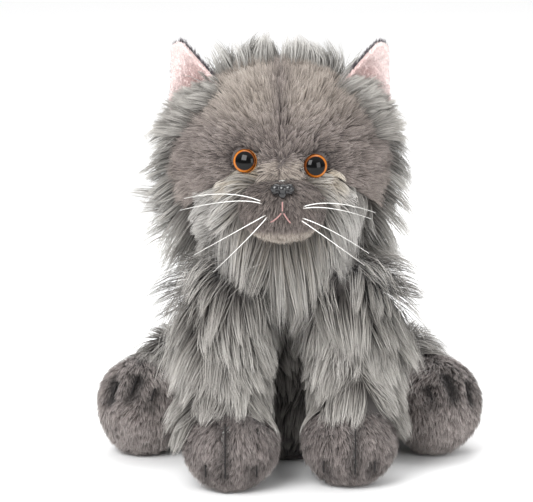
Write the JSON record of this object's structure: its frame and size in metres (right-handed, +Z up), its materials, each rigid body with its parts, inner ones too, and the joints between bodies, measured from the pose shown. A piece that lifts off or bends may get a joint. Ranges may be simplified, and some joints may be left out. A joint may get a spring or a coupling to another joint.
{
  "type": "sitting long-haired plush cat",
  "caption": "Sitting long-haired plush cat with a short-pile face, domed eyes, whiskers, stuffed limbs and a fluffy tail; head, ears, legs and tail flex at their seams.",
  "frame": {"origin": "middle of the flat seat under the torso, on the floor", "axes": "+Z up, the cat faces -Y, its own left is +X"},
  "size_m": [0.2654, 0.2749, 0.2997],
  "materials": {
    "long_fur": "long grey faux fur, clumped into locks",
    "face_plush": "short taupe-grey plush",
    "paw_plush": "dense short dark taupe plush",
    "ear_cloth": "short dark purple-grey plush",
    "ear_pink": "soft pale pink plush",
    "filling": "white polyester fibre",
    "pellet_cloth": "plain cotton pouch of pellets",
    "base_cloth": "plain woven base cloth",
    "eye_clear": "clear domed acrylic",
    "eye_black": "gloss black",
    "eye_orange": "orange, semi gloss",
    "nose_black": "gloss black, moulded",
    "washer_plastic": "natural plastic",
    "pink_thread": "dusty pink embroidery thread",
    "dark_thread": "dark grey thread",
    "whisker_line": "white nylon line"
  },
  "bodies": {
    "torso": {"torso_cover": "long_fur", "seat_panel": "base_cloth", "torso_filling": "filling", "pellet_bag": "pellet_cloth"},
    "neck": {"neck_filling": "filling"},
    "head": {"face_cover": "face_plush", "head_back_cover": "long_fur", "head_filling": "filling", "muzzle_cover": "face_plush", "muzzle_filling": "filling", "nose": "nose_black", "nose_washer": "washer_plastic", "mouth_stitching": "pink_thread", "left_whiskers": "whisker_line", "right_whiskers": "whisker_line", "left_eye_lens": "eye_clear", "left_eye_pupil": "eye_black", "left_eye_iris": "eye_orange", "left_eye_washer": "washer_plastic", "right_eye_lens": "eye_clear", "right_eye_pupil": "eye_black", "right_eye_iris": "eye_orange", "right_eye_washer": "washer_plastic"},
    "left_ear": {"left_ear_back": "ear_cloth", "left_ear_lining": "ear_pink"},
    "left_front_leg": {"left_front_leg_cover": "long_fur", "left_front_leg_filling": "filling", "left_front_paw_cover": "paw_plush", "left_front_paw_filling": "filling", "left_front_paw_toe_stitches": "dark_thread"},
    "left_hind_leg": {"left_thigh_cover": "long_fur", "left_thigh_filling": "filling", "left_hind_paw_cover": "paw_plush", "left_hind_paw_filling": "filling", "left_hind_paw_toe_stitches": "dark_thread"},
    "right_ear": {"right_ear_back": "ear_cloth", "right_ear_lining": "ear_pink"},
    "right_front_leg": {"right_front_leg_cover": "long_fur", "right_front_leg_filling": "filling", "right_front_paw_cover": "paw_plush", "right_front_paw_filling": "filling", "right_front_paw_toe_stitches": "dark_thread"},
    "right_hind_leg": {"right_thigh_cover": "long_fur", "right_thigh_filling": "filling", "right_hind_paw_cover": "paw_plush", "right_hind_paw_filling": "filling", "right_hind_paw_toe_stitches": "dark_thread"},
    "tail": {"tail_cover": "long_fur", "tail_filling": "filling"}
  },
  "joints": [
    {"name": "neck_turn", "type": "hinge", "parent": "torso", "child": "neck", "pos_m": [-0.004, -0.014, 0.1565], "axis": [0, 0, 1], "range_deg": [-20, 20], "stiffness_Nm_per_rad": 1.2},
    {"name": "head_nod", "type": "hinge", "parent": "neck", "child": "head", "pos_m": [-0.004, -0.014, 0.1565], "axis": [1, 0, 0], "range_deg": [-12, 9], "stiffness_Nm_per_rad": 3},
    {"name": "left_ear_flex", "type": "hinge", "parent": "head", "child": "left_ear", "pos_m": [0.04506, -0.04035, 0.25607], "axis": [0.7694, 0.25, -0.5878], "range_deg": [-10, 10], "stiffness_Nm_per_rad": 0.02},
    {"name": "right_ear_flex", "type": "hinge", "parent": "head", "child": "right_ear", "pos_m": [-0.05906, -0.04035, 0.25607], "axis": [0.7694, -0.25, 0.5878], "range_deg": [-10, 10], "stiffness_Nm_per_rad": 0.02},
    {"name": "left_shoulder", "type": "hinge", "parent": "torso", "child": "left_front_leg", "pos_m": [0.041, -0.059, 0.126], "axis": [-1, 0, 0], "range_deg": [0, 35], "stiffness_Nm_per_rad": 0.4},
    {"name": "right_shoulder", "type": "hinge", "parent": "torso", "child": "right_front_leg", "pos_m": [-0.041, -0.059, 0.126], "axis": [-1, 0, 0], "range_deg": [0, 35], "stiffness_Nm_per_rad": 0.4},
    {"name": "left_hip", "type": "hinge", "parent": "torso", "child": "left_hind_leg", "pos_m": [0.059, 0.031, 0.042], "axis": [-0.6392, -0.769, 0], "range_deg": [0, 20], "stiffness_Nm_per_rad": 0.4},
    {"name": "right_hip", "type": "hinge", "parent": "torso", "child": "right_hind_leg", "pos_m": [-0.059, 0.031, 0.042], "axis": [-0.6392, 0.769, 0], "range_deg": [0, 20], "stiffness_Nm_per_rad": 0.4},
    {"name": "tail_swing", "type": "hinge", "parent": "torso", "child": "tail", "pos_m": [0, 0.063, 0.018], "axis": [0, 0, 1], "range_deg": [-30, 30], "stiffness_Nm_per_rad": 0.15}
  ]
}
